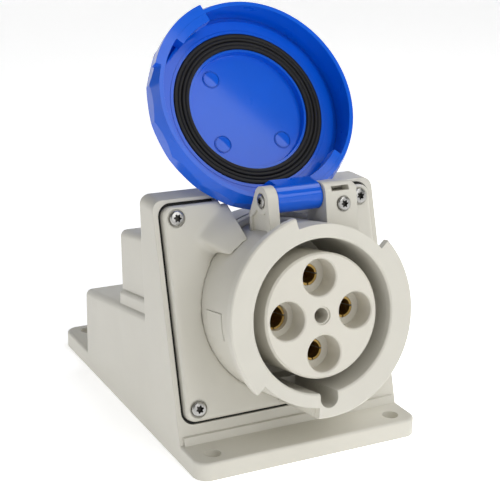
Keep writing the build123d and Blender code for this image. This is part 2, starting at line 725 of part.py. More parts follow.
def main_contact(clock, bore, setback):
    radius = bore / 2 + CONTACT_WALL
    front = -INSERT_RECESS - COUNTERBORE_DEPTH - setback
    body = sleeve(clock, CONTACT_CIRCLE, radius, bore / 2, front, SOCKET_DEPTH,
                  WIRE_BORE, main_terminals(clock))
    x, y = polar(CONTACT_CIRCLE, clock)
    half, depth = SLIT_WIDTH / 2, (front - SLIT_DEPTH, front)
    body -= block(SOCKET, (x - half, x + half), (y - radius, y + radius), depth)
    return body - block(SOCKET, (x - radius, x + radius), (y - half, y + half), depth)


def pilot_contact():
    front = -INSERT_RECESS - PILOT_SETBACK
    return sleeve(PILOT_CLOCK, 0.0, PILOT_HOLE / 2 - CONTACT_SEAT, PILOT_BORE / 2, front,
                  SOCKET_DEPTH / 2, WIRE_BORE / 2, pilot_terminals())


def contact_carrier():
    """Rear block that traps the contacts' shoulders, with windows for the terminal screws."""
    body = rod(SOCKET, CARRIER_RADIUS, CARRIER_REAR, INSERT_REAR)
    window = TERMINAL_HEAD + WINDOW_SPARE
    for clock, bore, mouth, setback in contact_places():
        x, y = polar(CONTACT_CIRCLE, clock)
        radius = bore / 2 + CONTACT_WALL + CONTACT_SEAT
        body -= rod(SOCKET, radius, CARRIER_REAR, INSERT_REAR, x, y)
        body -= rod(SOCKET, radius + SHOULDER, SHOULDER_REAR, INSERT_REAR, x, y)
        body -= [rod(place, window, 0, CARRIER_RADIUS) for place in main_terminals(clock)]
    body -= rod(SOCKET, PILOT_HOLE / 2, CARRIER_REAR, INSERT_REAR)
    body -= rod(SOCKET, PILOT_HOLE / 2 + SHOULDER, SHOULDER_REAR, INSERT_REAR)
    body -= [rod(place, window, 0, CARRIER_RADIUS + 1) for place in pilot_terminals()]
    for x, y in carrier_screw_places():
        body -= rod(SOCKET, SMALL_SHANK + SCREW_HOLE_SPARE, CARRIER_REAR, INSERT_REAR, x, y)
    return body


def terminal_screws():
    groups = [
        (main_terminals(clock), bore / 2 + CONTACT_WALL)
        for clock, bore, mouth, setback in contact_places()]
    groups.append((pilot_terminals(), PILOT_HOLE / 2 - CONTACT_SEAT))
    screws = []
    for frames, seat in groups:
        one = Pos(0, 0, seat) * screw(TERMINAL_HEAD, TERMINAL_HEAD_HEIGHT, SCREW_SHANK, seat - 1)
        screws += [frame.location * one for frame in frames]
    return Compound(screws)


def rear_screws(places, seat, length):
    """Small screws driven forwards along the socket axis."""
    one = Rot(0, 180, 0) * screw(SMALL_HEAD, SMALL_HEAD_HEIGHT, SMALL_SHANK, length)
    return Compound([SOCKET.location * Pos(x, y, seat) * one for x, y in places])


def insert_screws():
    return rear_screws(insert_screw_places(), INSERT_REAR, INSERT_FLANGE + SCREW_BITE)


def carrier_screws():
    return rear_screws(carrier_screw_places(), CARRIER_REAR, CARRIER_LENGTH + SCREW_BITE)


# Lid
def lid_arm():
    """Arm that rises inside the bayonet ring and passes over its rim to the hinge barrel."""
    width = (ARM_LEFT, ARM_RIGHT)
    foot = (LID_FLANGE_TOP + LID_FLANGE_BACK) / 2
    post = block(LID, width, (-ARM_OUTER, -ARM_INNER), (foot, ARM_FRONT))
    post = post & rod(LID, ARM_OUTER, foot, ARM_FRONT)
    outline = side_hull(
        [(HINGE_BACK, -HINGE_RISE, BARREL_RADIUS)],
        [(RIM_PASS, -ARM_INNER), (ARM_FRONT, -ARM_INNER)])
    barrel = rod(PIN, BARREL_RADIUS, -EAR_INNER + HINGE_GAP, EAR_INNER - HINGE_GAP)
    return post + side_slab(LID, outline, width) + barrel


def lid_body():
    ridge = GASKET_INNER - 1.2
    wall = GASKET_OUTER + 1.6
    body = turned(LID, [
        (0, LID_FLOOR), (ridge - 0.4, LID_FLOOR), (ridge, -1.5), (GASKET_INNER, -1.5),
        (GASKET_INNER, GROOVE_FLOOR), (GASKET_OUTER, GROOVE_FLOOR), (GASKET_OUTER, LID_RIM),
        (wall, LID_RIM), (wall, LID_FLANGE_TOP), (LID_FLANGE_RADIUS, LID_FLANGE_TOP),
        (LID_FLANGE_RADIUS, LID_FLANGE_BACK), (LID_NECK_RADIUS, LID_FLANGE_BACK),
        (LID_NECK_RADIUS, LID_NECK_END), (0, LID_NECK_END)])
    body += lid_arm()
    for clock in MARK_CLOCKS:
        x, y = polar(MARK_CIRCLE, clock)
        body += rod(LID, MARK_RADIUS, LID_FLOOR - 1, LID_FLOOR + MARK_RISE, x, y)
    return body - rod(PIN, PIN_RADIUS + PIN_CLEARANCE, -EAR_INNER, EAR_INNER)


def lid_gasket():
    """Sealing ring with two raised bands."""
    low, top = GROOVE_FLOOR, GASKET_TOP
    middle = (GASKET_INNER + GASKET_OUTER) / 2
    return turned(LID, [
        (GASKET_INNER, low), (GASKET_OUTER, low), (GASKET_OUTER, top - 0.8),
        (GASKET_OUTER - 0.8, top), (middle + 1.3, top), (middle + 0.6, top - 1.3),
        (middle - 0.6, top - 1.3), (middle - 1.3, top), (GASKET_INNER + 0.8, top),
        (GASKET_INNER, top - 0.8)])


def lid_back():
    """Outer shell of the lid, which keeps the bayonet ring on its neck."""
    edge = RING_BACK - RING_PLAY
    return turned(LID, [
        (LID_NECK_RADIUS, edge), (LID_BACK_RADIUS, edge), (LID_BACK_RADIUS, edge - 1.2),
        (40.5, -8.6), (25, -10.5), (0, -11.2), (0, -9.4), (25, -8.7), (36, LID_NECK_END),
        (LID_NECK_RADIUS, LID_NECK_END)])


def bayonet_ring():
    """Faceted wall of the ring, with the grip pad."""
    wall = turned(LID, [
        (RING_INNER, RING_BACK), (RING_BACK_RADIUS, RING_BACK),
        (RING_SHOULDER_RADIUS, RING_SHOULDER), (RING_WALL_RADIUS, RING_WIDEST),
        (RING_RIM_RADIUS, RING_RIM), (RING_INNER, RING_RIM)])
    sides = RegularPolygon(RING_FLAT_RADIUS, RING_SIDES, False, RING_TWIST)
    prism = Pos(0, 0, RING_BACK) * extrude(sides, RING_RIM - RING_BACK)
    pad = (RING_INNER, GRIP_PAD_RADIUS)
    return (wall & (LID.location * prism)) + sector(LID, pad, (GRIP_PAD_BACK, RING_RIM), GRIP_PAD)


def ring_lip():
    """Inner lip at the back of the ring, held between the lid's flange and its back."""
    outer = rod(LID, RING_INNER, RING_BACK, RING_BACK + RING_LIP)
    return outer - rod(LID, LID_NECK_RADIUS + RING_PLAY, RING_BACK, RING_BACK + RING_LIP)


def ring_lugs():
    """The two lugs inside the ring that ride behind the cams."""
    band = (LUG_INNER, RING_INNER)
    return Compound([sector(LID, band, (LUG_BACK, RING_RIM), clocks) for clocks in (LUG_A, LUG_B)])


# Cable entry
def cable_entry_plug():
    """Blanking plug with a coin slot."""
    seat = ENTRY_SEAL_THICKNESS
    head = Pos(0, 0, seat) * extrude(Circle(ENTRY_HEAD), ENTRY_HEAD_HEIGHT)
    head = fillet(head.edges().group_by(Axis.Z)[-1], 1.2)
    head -= Pos(0, 0, seat + ENTRY_HEAD_HEIGHT) * Box(24, 2.5, 4)
    shank = Pos(0, 0, -ENTRY_DEPTH) * extrude(Circle(ENTRY_RADIUS), ENTRY_DEPTH + seat)
    shank -= Pos(0, 0, -ENTRY_DEPTH) * extrude(Circle(ENTRY_RADIUS - 3), ENTRY_DEPTH)
    return ENTRY.location * (head + shank)


def entry_seal():
    ring = Circle(ENTRY_HEAD - 0.3) - Circle(ENTRY_RADIUS)
    return ENTRY.location * extrude(ring, ENTRY_SEAL_THICKNESS)


SHAPES = {
    "base_housing": base_housing(),
    "housing_seal": housing_seal(),
    "socket_cover": socket_cover(),
    "socket_shroud": socket_shroud(),
    "bayonet_cams": bayonet_cams(),
    "hinge_ear": hinge_ear(),
    "hinge_block": hinge_block(),
    "cover_screws": cover_screws(),
    "hinge_pin": hinge_pin(),
    "hinge_lock_screw": hinge_lock_screw(),
    "contact_insert": contact_insert(),
    "insert_rear": insert_rear(),
    "insert_flange": insert_flange(),
    "line_contact_1": main_contact(LINE_CLOCKS[0], LINE_BORE, 0.0),
    "line_contact_2": main_contact(LINE_CLOCKS[1], LINE_BORE, 0.0),
    "line_contact_3": main_contact(LINE_CLOCKS[2], LINE_BORE, 0.0),
    "earth_contact": main_contact(EARTH_CLOCK, EARTH_BORE, EARTH_SETBACK),
    "pilot_contact": pilot_contact(),
    "contact_carrier": contact_carrier(),
    "terminal_screws": terminal_screws(),
    "insert_screws": insert_screws(),
    "carrier_screws": carrier_screws(),
    "lid_body": lid_body(),
    "lid_gasket": lid_gasket(),
    "lid_back": lid_back(),
    "bayonet_ring": bayonet_ring(),
    "ring_lip": ring_lip(),
    "ring_lugs": ring_lugs(),
    "cable_entry_plug": cable_entry_plug(),
    "entry_seal": entry_seal(),
}

os.makedirs("parts", exist_ok=True)
for node, shape in SHAPES.items():
    export_step(shape, "parts/" + node + ".step")
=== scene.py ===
import math

import bmesh
import bpy
from bpy.props import FloatProperty, FloatVectorProperty, PointerProperty
from mathutils import Matrix, Vector, kdtree


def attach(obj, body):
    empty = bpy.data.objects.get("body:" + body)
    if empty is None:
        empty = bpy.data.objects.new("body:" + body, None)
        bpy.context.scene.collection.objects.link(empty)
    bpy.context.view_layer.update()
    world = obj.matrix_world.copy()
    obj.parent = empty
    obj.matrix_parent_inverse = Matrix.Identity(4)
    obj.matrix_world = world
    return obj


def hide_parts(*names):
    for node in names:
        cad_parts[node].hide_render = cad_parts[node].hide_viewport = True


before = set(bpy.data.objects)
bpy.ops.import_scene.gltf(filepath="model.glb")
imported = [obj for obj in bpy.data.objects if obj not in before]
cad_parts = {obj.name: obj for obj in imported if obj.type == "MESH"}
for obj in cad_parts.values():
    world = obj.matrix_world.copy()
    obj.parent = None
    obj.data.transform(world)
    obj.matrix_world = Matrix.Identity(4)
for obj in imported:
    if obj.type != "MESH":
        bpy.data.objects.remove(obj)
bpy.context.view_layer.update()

bl_info = {
    "name": "Pin and sleeve receptacle",
    "version": (1, 0, 0),
    "blender": (4, 5, 0),
    "location": "3D View > Sidebar > Receptacle",
    "description": "Finishes, seals, screws and stage of an angled surface mounting receptacle",
    "category": "Object",
}

MM = 0.001

# Frames of the solid model, in millimetres and degrees of lean
COVER_ORIGIN, COVER_TILT = (0.0, -58.500, 69.0), 16.6
SOCKET_ORIGIN, SOCKET_TILT = (0.0, -99.573, 74.376), 10.9
HINGE_POINT = (0.0, -68.147, 122.807)
LID_ORIGIN, LID_TILT = (0.0, -21.217, 156.433), 32.3

# Places on the solid model, in millimetres in those frames
SCREW_X, SCREW_Y, SCREW_SEAT, SCREW_RECESS = 49.9, 45.1, -1.0, 4.3
COVER_SCREWS = [(x, y) for x in (-SCREW_X, SCREW_X) for y in (-SCREW_Y, SCREW_Y)]
COVER_HALF_X, COVER_HALF_Y, COVER_CORNER, NOTCH_HALF = 56.0, 51.1, 5.0, 28.5
SEAL_OFFSETS, SEAL_HEIGHTS = (0.12, 1.38), (-7.88, -5.3)
LOCK_SCREW = (21.4, 48.7, -14.3)
PIN_SEAT, PIN_LENGTH = 16.6, 43.1
GASKET_FLOOR = -4.0
MARK_CIRCLE, MARK_TOP, MARK_CLOCKS = 23.0, -4.67, (-40.0, 136.0, -134.0)

# Soft lights: place from the aim in metres, width, and the direction of one edge. An edge of the
# key is mirrored as a diagonal across the lid's floor.
LIGHTS = {
    "key_light": ((0.244, -0.878, 0.751), 0.8, (-0.655, 0.378, 0.655)),
    "top_light": ((0.5, 0.1, 1.2), 0.8, (1, 0, 0)),
    "fill_light": ((-1.1, -0.6, 0.55), 0.8, (1, 0, 0)),
}
SHEET_WIDTH, SHEET_RISE, SHEET_BEND = 6.0, 1.1, 0.9


def leaning(origin, tilt):
    """Matrix in metres: X right, Y up the slope, Z out of a face that leans back by tilt."""
    angle = math.radians(tilt)
    out = Vector((0, -math.cos(angle), math.sin(angle)))
    right = Vector((1, 0, 0))
    up = out.cross(right)
    turn = Matrix((right, up, out)).transposed().to_4x4()
    return Matrix.Translation(Vector(origin) * MM) @ turn


COVER = leaning(COVER_ORIGIN, COVER_TILT)
SOCKET = leaning(SOCKET_ORIGIN, SOCKET_TILT)
LID = leaning(LID_ORIGIN, LID_TILT)


# Sizes and colours a user may change
def linear(code):
    """Linear colour of an sRGB hex value."""
    channels = [int(code[i:i + 2], 16) / 255 for i in (0, 2, 4)]
    return [c / 12.92 if c <= 0.04045 else ((c + 0.055) / 1.055) ** 2.4 for c in channels]


def size(name, description, millimetres):
    return FloatProperty(name=name, description=description, default=millimetres * MM,
                         min=0.0, unit="LENGTH", precision=5)


def colour(name, description, code):
    return FloatVectorProperty(name=name, description=description, default=linear(code),
                               size=3, min=0.0, max=1.0, subtype="COLOR")


class ReceptacleColours(bpy.types.PropertyGroup):
    housing: colour("Housing", "Colour of the housing and the socket cover", "D3D0C5")
    insert: colour("Insert", "Colour of the insulating insert and the contact carrier", "D6D2C6")
    lid: colour("Lid", "Colour of the lid and its bayonet ring", "005CDA")
    rubber: colour("Rubber", "Colour of the gasket and the seals", "100F0E")
    brass: colour("Brass", "Colour of the contact sleeves", "D2B068")
    steel: colour("Steel", "Colour of the screws", "B9B8B5")
    floor: colour("Floor", "Colour of the floor and the backdrop", "F8F8F8")


class ReceptacleSizes(bpy.types.PropertyGroup):
    gasket_outer: size("Gasket radius", "Outer radius of the lid gasket", 39.4)
    gasket_inner: size("Gasket hole", "Inner radius of the lid gasket", 31.2)
    gasket_depth: size("Gasket depth", "Height of the gasket from its groove's floor", 3.7)
    screw_head: size("Cover screw head", "Radius of the heads of the cover screws", 3.65)
    screw_height: size("Screw head height", "Height of a cover screw's head", 2.6)
    pin_head: size("Hinge screw head", "Radius of the heads in the hinge ear and block", 3.3)
    edge: size("Edge softness", "Radius at which moulded edges catch the light", 0.45)
    grain: size("Mould grain", "Spacing of the eroded grain on the grey mouldings", 0.9)


class ReceptacleStage(bpy.types.PropertyGroup):
    azimuth: FloatProperty(name="Camera azimuth", description="Camera angle round the object",
                           default=math.radians(-27.26), subtype="ANGLE")
    elevation: FloatProperty(name="Camera elevation", description="Camera angle above the floor",
                             default=math.radians(17.94), subtype="ANGLE")
    roll: FloatProperty(name="Camera roll", description="Turn of the camera about its view",
                        default=math.radians(1.05), subtype="ANGLE")
    distance: size("Camera distance", "From the aim to the camera", 627.0)
    lens: FloatProperty(name="Lens", description="Focal length in millimetres",
                        default=89.4, min=20.0, max=300.0)
    aim_x: FloatProperty(name="Aim X", description="Point the camera looks at",
                         default=-0.2 * MM, unit="LENGTH")
    aim_y: FloatProperty(name="Aim Y", description="Point the camera looks at",
                         default=-24.45 * MM, unit="LENGTH")
    aim_z: FloatProperty(name="Aim Z", description="Point the camera looks at",
                         default=84.0 * MM, unit="LENGTH")
    key_light: FloatProperty(name="Key light", description="Power of the soft box at the front",
                             default=4.8, min=0.0, unit="POWER")
    top_light: FloatProperty(name="Top light", description="Power of the overhead soft light",
                             default=5.8, min=0.0, unit="POWER")
    fill_light: FloatProperty(name="Fill light", description="Power of the soft light at the left",
                              default=0.6, min=0.0, unit="POWER")


# Materials
def shade(tree, kind, sockets, **settings):
    """Add a node. A socket gets a value, or a link where the value is another node's output."""
    node = tree.nodes.new("ShaderNode" + kind)
    for name, value in settings.items():
        setattr(node, name, value)
    for socket, value in sockets.items():
        if isinstance(value, bpy.types.NodeSocket):
            tree.links.new(value, node.inputs[socket])
        else:
            node.inputs[socket].default_value = value
    return node


def blank_material(name, tint):
    """Material with an empty node tree. Returns it with the tree."""
    material = bpy.data.materials.new(name)
    material.use_nodes = True
    material.diffuse_color = (*tint, 1)
    material.node_tree.nodes.clear()
    return material, material.node_tree


def moulded(name, tint, roughness, grain, depth, shift, edge, coat=0.0, level=0.5):
    """Injection moulded plastic: a faint flow of tone, an eroded grain and soft edges.

    grain is the spacing and depth the height of the tool's texture in metres, shift is how far
    the tone wanders, edge the radius of the edges, coat the polish and level the gloss below it.
    The real grain of about 0.1 mm is drawn coarser so that it shows.
    """
    material, tree = blank_material(name, tint)
    place = shade(tree, "TexCoord", {}).outputs["Object"]
    flow = shade(tree, "TexNoise", {"Vector": place, "Scale": 1 / 0.034, "Detail": 3.0,
                                    "Roughness": 0.55, "Distortion": 0.6})
    tone = shade(tree, "ValToRGB", {"Fac": flow.outputs["Fac"]})
    ramp = tone.color_ramp
    ramp.elements[0].position, ramp.elements[1].position = 0.3, 0.72
    ramp.elements[0].color = (*[c * (1 - shift) for c in tint], 1)
    ramp.elements[1].color = (*[min(1.0, c * (1 + shift)) for c in tint], 1)
    rub = shade(tree, "TexNoise", {"Vector": place, "Scale": 1 / 0.014,
                                   "Detail": 4.0, "Roughness": 0.6})
    matt = shade(tree, "MapRange", {"Value": rub.outputs["Fac"], "From Min": 0.3, "From Max": 0.7,
                                    "To Min": roughness - 0.035, "To Max": roughness + 0.045})
    pits = shade(tree, "TexNoise", {"Vector": place, "Scale": 1 / grain, "Detail": 2.0,
                                    "Roughness": 0.7})
    wave = shade(tree, "TexNoise", {"Vector": place, "Scale": 1 / 0.022, "Detail": 1.0})
    soft = shade(tree, "Bevel", {"Radius": edge}, samples=6)
    sink = shade(tree, "Bump", {"Height": wave.outputs["Fac"], "Strength": 0.5,
                                "Distance": 0.12 * MM, "Normal": soft.outputs["Normal"]})
    relief = shade(tree, "Bump", {"Height": pits.outputs["Fac"], "Strength": 0.6,
                                  "Distance": depth, "Normal": sink.outputs["Normal"]})
    plastic = shade(tree, "BsdfPrincipled", {
        "Base Color": tone.outputs["Color"], "Roughness": matt.outputs["Result"], "IOR": 1.53,
        "Normal": relief.outputs["Normal"], "Specular IOR Level": level,
        "Coat Weight": coat, "Coat Roughness": 0.07})
    shade(tree, "OutputMaterial", {"Surface": plastic.outputs["BSDF"]})
    return material


def moulded_rubber(name, tint):
    """Moulded EPDM rubber: matt black with a dusty bloom and a fine skin texture."""
    material, tree = blank_material(name, tint)
    place = shade(tree, "TexCoord", {}).outputs["Object"]
    bloom = shade(tree, "TexNoise", {"Vector": place, "Scale": 1 / 0.006, "Detail": 4.0,
                                     "Roughness": 0.65})
    tone = shade(tree, "ValToRGB", {"Fac": bloom.outputs["Fac"]})
    tone.color_ramp.elements[0].position, tone.color_ramp.elements[1].position = 0.35, 0.75
    tone.color_ramp.elements[0].color = (*tint, 1)
    tone.color_ramp.elements[1].color = (*[c * 1.6 + 0.002 for c in tint], 1)
    skin = shade(tree, "TexVoronoi", {"Vector": place, "Scale": 1 / 0.0006})
    relief = shade(tree, "Bump", {"Height": skin.outputs["Distance"], "Strength": 0.4,
                                  "Distance": 0.03 * MM})
    matt = shade(tree, "MapRange", {"Value": bloom.outputs["Fac"], "To Min": 0.5, "To Max": 0.7})
    rubber = shade(tree, "BsdfPrincipled", {
        "Base Color": tone.outputs["Color"], "Roughness": matt.outputs["Result"], "IOR": 1.52,
        "Normal": relief.outputs["Normal"], "Specular IOR Level": 0.35, "Sheen Weight": 0.03})
    shade(tree, "OutputMaterial", {"Surface": rubber.outputs["BSDF"]})
    return material


def turned_metal(name, tint, roughness, frame_matrix, groove, depth):
    """Metal turned on a lathe: fine rings round the socket's axis, and slight dulling.

    groove is the spacing of the tool marks in metres, drawn coarser than the real 0.1 mm.
    """
    material, tree = blank_material(name, tint)
    place = shade(tree, "TexCoord", {}).outputs["Object"]
    angle = math.radians(90) - frame_matrix.to_euler().x
    along = shade(tree, "Mapping", {"Vector": place, "Rotation": (angle, 0, 0)})
    rings = shade(tree, "TexWave", {"Vector": along.outputs["Vector"], "Scale": 1 / (groove * 6.28),
                                    "Distortion": 0.6, "Detail": 1.0}, wave_type="BANDS",
                  bands_direction="Y")
    dull = shade(tree, "TexNoise", {"Vector": place, "Scale": 1 / 0.004, "Detail": 4.0})
    tone = shade(tree, "ValToRGB", {"Fac": dull.outputs["Fac"]})
    tone.color_ramp.elements[0].position, tone.color_ramp.elements[1].position = 0.3, 0.7
    tone.color_ramp.elements[0].color = (*[c * 0.78 for c in tint], 1)
    tone.color_ramp.elements[1].color = (*tint, 1)
    matt = shade(tree, "MapRange", {"Value": dull.outputs["Fac"], "To Min": roughness - 0.06,
                                    "To Max": roughness + 0.1})
    soft = shade(tree, "Bevel", {"Radius": 0.15 * MM}, samples=4)
    relief = shade(tree, "Bump", {"Height": rings.outputs["Fac"], "Strength": 0.5,
                                  "Distance": depth, "Normal": soft.outputs["Normal"]})
    metal = shade(tree, "BsdfPrincipled", {
        "Base Color": tone.outputs["Color"], "Metallic": 1.0, "Roughness": matt.outputs["Result"],
        "Normal": relief.outputs["Normal"]})
    shade(tree, "OutputMaterial", {"Surface": metal.outputs["BSDF"]})
    return material


def dress(material, *nodes):
    """Give CAD nodes a material."""
    for node in nodes:
        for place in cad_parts[node].material_slots:
            place.material = material


# Modelling
def nothing_selected():
    if bpy.context.object and bpy.context.object.mode != "OBJECT":
        bpy.ops.object.mode_set(mode="OBJECT")
    bpy.ops.object.select_all(action="DESELECT")


def only(piece):
    nothing_selected()
    piece.select_set(True)
    bpy.context.view_layer.objects.active = piece
    return piece


def at_origin(piece, matrix):
    """Put a piece modelled round the origin in its frame, with its place in its mesh."""
    only(piece)
    piece.matrix_world = matrix @ piece.matrix_world
    bpy.context.view_layer.update()
    bpy.ops.object.transform_apply(location=True, rotation=True, scale=True)
    return piece


def apply_modifiers(piece):
    only(piece)
    for modifier in list(piece.modifiers):
        bpy.ops.object.modifier_apply(modifier=modifier.name)


def add_modifier(piece, kind, **settings):
    only(piece)
    bpy.ops.object.modifier_add(type=kind)
    modifier = piece.modifiers[-1]
    for name, value in settings.items():
        setattr(modifier, name, value)
    return modifier


def finished(piece, name, material, smooth=35.0):
    """Merge doubles, turn faces outwards, smooth, name and dress a piece."""
    only(piece)
    bpy.ops.object.mode_set(mode="EDIT")
    bpy.ops.mesh.select_all(action="SELECT")
    bpy.ops.mesh.remove_doubles(threshold=1e-6)
    bpy.ops.mesh.normals_make_consistent(inside=False)
    bpy.ops.object.mode_set(mode="OBJECT")
    bpy.ops.object.shade_smooth_by_angle(angle=math.radians(smooth))
    piece.name = piece.data.name = name
    piece.data.materials.clear()
    piece.data.materials.append(material)
    return piece


def spun(profile, steps):
    """Closed profile of (radius, height) points in millimetres, spun round Z into a solid."""
    nothing_selected()
    bpy.ops.mesh.primitive_circle_add(vertices=len(profile), radius=MM)
    piece = bpy.context.object
    for vertex, (radius, height) in zip(piece.data.vertices, profile):
        vertex.co = (radius * MM, 0, height * MM)
    bpy.ops.object.mode_set(mode="EDIT")
    bpy.ops.mesh.select_all(action="SELECT")
    bpy.ops.mesh.spin(steps=steps, angle=2 * math.pi, center=(0, 0, 0), axis=(0, 0, 1))
    bpy.ops.mesh.select_all(action="SELECT")
    bpy.ops.mesh.remove_doubles(threshold=1e-6)
    bpy.ops.mesh.normals_make_consistent(inside=False)
    bpy.ops.object.mode_set(mode="OBJECT")
    return piece


def cylinder(radius, low, high, sides, at=(0.0, 0.0)):
    nothing_selected()
    bpy.ops.mesh.primitive_cylinder_add(
        vertices=sides, radius=radius * MM, depth=(high - low) * MM,
        location=(at[0] * MM, at[1] * MM, (low + high) / 2 * MM))
    bpy.ops.object.transform_apply(location=True, rotation=False, scale=False)
    return bpy.context.object


def copied_mesh(node, name, matrix):
    """New piece with a node's merged mesh, brought from its frame to the origin."""
    piece = bpy.data.objects.new(name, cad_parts[node].data.copy())
    bpy.context.scene.collection.objects.link(piece)
    at_origin(piece, matrix.inverted())
    bpy.ops.object.mode_set(mode="EDIT")
    bpy.ops.mesh.select_all(action="SELECT")
    bpy.ops.mesh.remove_doubles(threshold=1e-6)
    bpy.ops.object.mode_set(mode="OBJECT")
    return piece


def cut(piece, *cutters):
    """Take cutters out of a piece, and remove them."""
    for cutter in cutters:
        add_modifier(piece, "BOOLEAN", operation="DIFFERENCE", object=cutter, solver="EXACT")
        apply_modifiers(piece)
        bpy.data.objects.remove(cutter)


def copy_of(piece, name):
    twin = piece.copy()
    twin.data = piece.data.copy()
    twin.name = twin.data.name = name
    bpy.context.scene.collection.objects.link(twin)
    return twin


def screw_head(radius, height):
    """Pan head with a washer face, a domed top and a six-lobed recess, seat on Z = 0."""
    dome = 0.42 * height
    profile = [(0, 0), (radius * 0.97, 0), (radius, 0.12), (radius, height - dome)]
    profile += [
        (radius - radius * 0.3 * (1 - math.cos(t)), height - dome + dome * 0.86 * math.sin(t))
        for t in (math.radians(a) for a in (15, 30, 45, 60, 75, 90))]
    profile += [(radius * 0.45, height * 0.985), (0, height)]
    head = spun(profile, 48)
    nothing_selected()
    bpy.ops.mesh.primitive_cylinder_add(vertices=48, radius=MM, depth=height * MM,
                                        location=(0, 0, height * 0.7 * MM))
    bpy.ops.object.transform_apply(location=True, rotation=False, scale=False)
    star = bpy.context.object
    for vertex in star.data.vertices:
        clock = math.atan2(vertex.co.y, vertex.co.x)
        lobe = radius * (0.46 + 0.1 * math.cos(6 * clock))
        vertex.co.x, vertex.co.y = lobe * MM * math.cos(clock), lobe * MM * math.sin(clock)
    cut(head, star)
    return head


def soften_lobes(cover):
    """Smooth a cover's raised lobes and the plate round them, and keep their edge at the saddle."""
    reach, keep, fade, screw = 6.0, 23.0, 5.0, 6.0
    raised = [vertex.co for vertex in cover.data.vertices
              if vertex.co.z > 0.7 * MM and vertex.co.y > 5 * MM]
    tree = kdtree.KDTree(len(raised))
    for number, place in enumerate(raised):
        tree.insert(place, number)
    tree.balance()
    soft = cover.vertex_groups.new(name="fairing")
    for vertex in cover.data.vertices:
        x, y, z = vertex.co / MM
        if z < -1.0 or (abs(x) - SCREW_X) ** 2 + (y - SCREW_Y) ** 2 < screw ** 2:
            continue
        near = 1 - tree.find(vertex.co)[2] / (reach * MM)
        weight = min(near, (abs(x) - keep) / fade, 1.0)
        if weight > 0:
            soft.add([vertex.index], weight, "REPLACE")
    add_modifier(cover, "SMOOTH", factor=0.5, iterations=70, vertex_group="fairing")
    apply_modifiers(cover)


def rim_strip(half_x, half_y, corner, offsets, heights, gap):
    """Solid strip outside a rounded rectangle, open at the top between -gap and gap."""
    path = [((-gap, half_y), (0, 1))]
    for cx, cy, start in ((-1, 1, 90), (-1, -1, 180), (1, -1, 270), (1, 1, 0)):
        middle = (cx * (half_x - corner), cy * (half_y - corner))
        for step in range(9):
            angle = math.radians(start + 90 * step / 8)
            out = (math.cos(angle), math.sin(angle))
            path.append(((middle[0] + corner * out[0], middle[1] + corner * out[1]), out))
    path.append(((gap, half_y), (0, 1)))
    nothing_selected()
    bpy.ops.mesh.primitive_grid_add(x_subdivisions=len(path) - 1, y_subdivisions=4, size=MM)
    strip = bpy.context.object
    # The grid is rolled into a square tube along the path, and its ends are closed
    section = [(offsets[0], heights[0]), (offsets[1], heights[0]),
               (offsets[1], heights[1]), (offsets[0], heights[1])]
    for number, vertex in enumerate(strip.data.vertices):
        (x, y), (dx, dy) = path[number % len(path)]
        o, h = section[number // len(path) % 4]
        vertex.co = ((x + dx * o) * MM, (y + dy * o) * MM, h * MM)
    bpy.ops.object.mode_set(mode="EDIT")
    bpy.ops.mesh.select_all(action="SELECT")
    bpy.ops.mesh.remove_doubles(threshold=1e-6)
    bpy.ops.mesh.fill_holes(sides=4)
    bpy.ops.object.mode_set(mode="OBJECT")
    return strip


def whole_screw(name, radius, height, shank, length, materials):
    """Screw or pin: a star-drive head with its shank below the seat; its recess takes the second
    material, painted shade.
    """
    head = screw_head(radius, height)
    stem = cylinder(shank, -length, 0.3, 32)
    only(head)
    stem.select_set(True)
    bpy.ops.object.join()
    screw = finished(head, name, materials[0], 30.0)
    screw.data.materials.append(materials[1])
    # The faces of the star recess take the second material, a darker copy of the steel that is
    # painted shade
    for face in screw.data.polygons:
        x, y, z = face.center / MM
        if math.hypot(x, y) < 0.57 * radius and 0.3 < z < 0.92 * height:
            face.material_index = 1
    return screw


def driven(screw, matrix, node):
    """Put a screw in its place, where it stands for a solid of the base."""
    at_origin(screw, matrix)
    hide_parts(node)
    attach(screw, "base")


# Operators
class RECEPTACLE_OT_housing(bpy.types.Operator):
    """Finish the grey housing and the socket cover as eroded polyamide mouldings"""
    bl_idname = "receptacle.housing"
    bl_label = "Housing and cover"

    def execute(self, context):
        tones, sizes = context.scene.receptacle_colours, context.scene.receptacle_sizes
        # Glass filled polyamide from an eroded tool: even warm grey with a satin sheen
        grey = moulded("moulded polyamide, warm grey", tones.housing, 0.42, sizes.grain,
                       0.035 * MM, 0.02, sizes.edge)
        dress(grey, "base_housing", "socket_cover", "socket_shroud", "bayonet_cams", "hinge_ear",
              "hinge_block", "cable_entry_plug")

        # The two fairing lobes flow softly into the plate
        cover = copied_mesh("socket_cover", "cover_with_lobes", COVER)
        add_modifier(cover, "REMESH", mode="VOXEL", voxel_size=0.8 * MM)
        apply_modifiers(cover)
        soften_lobes(cover)
        cut(cover, *(cylinder(SCREW_RECESS, SCREW_SEAT, 1.0, 48, place)
                     for place in COVER_SCREWS))
        at_origin(cover, COVER)
        finished(cover, "cover_with_lobes", grey, 35.0)
        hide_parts("socket_cover")
        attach(cover, "base")
        return {"FINISHED"}


class RECEPTACLE_OT_insert(bpy.types.Operator):
    """Finish the insulating insert and its rear carrier as smooth nylon mouldings"""
    bl_idname = "receptacle.insert"
    bl_label = "Insert and carrier"

    def execute(self, context):
        tones, sizes = context.scene.receptacle_colours, context.scene.receptacle_sizes
        # Self-extinguishing nylon from a polished tool: a little paler and smoother
        nylon = moulded("moulded nylon, pale grey", tones.insert, 0.36, sizes.grain * 0.7,
                        0.015 * MM, 0.015, 0.3 * MM)
        dress(nylon, "contact_insert", "insert_rear", "insert_flange", "contact_carrier")
        return {"FINISHED"}


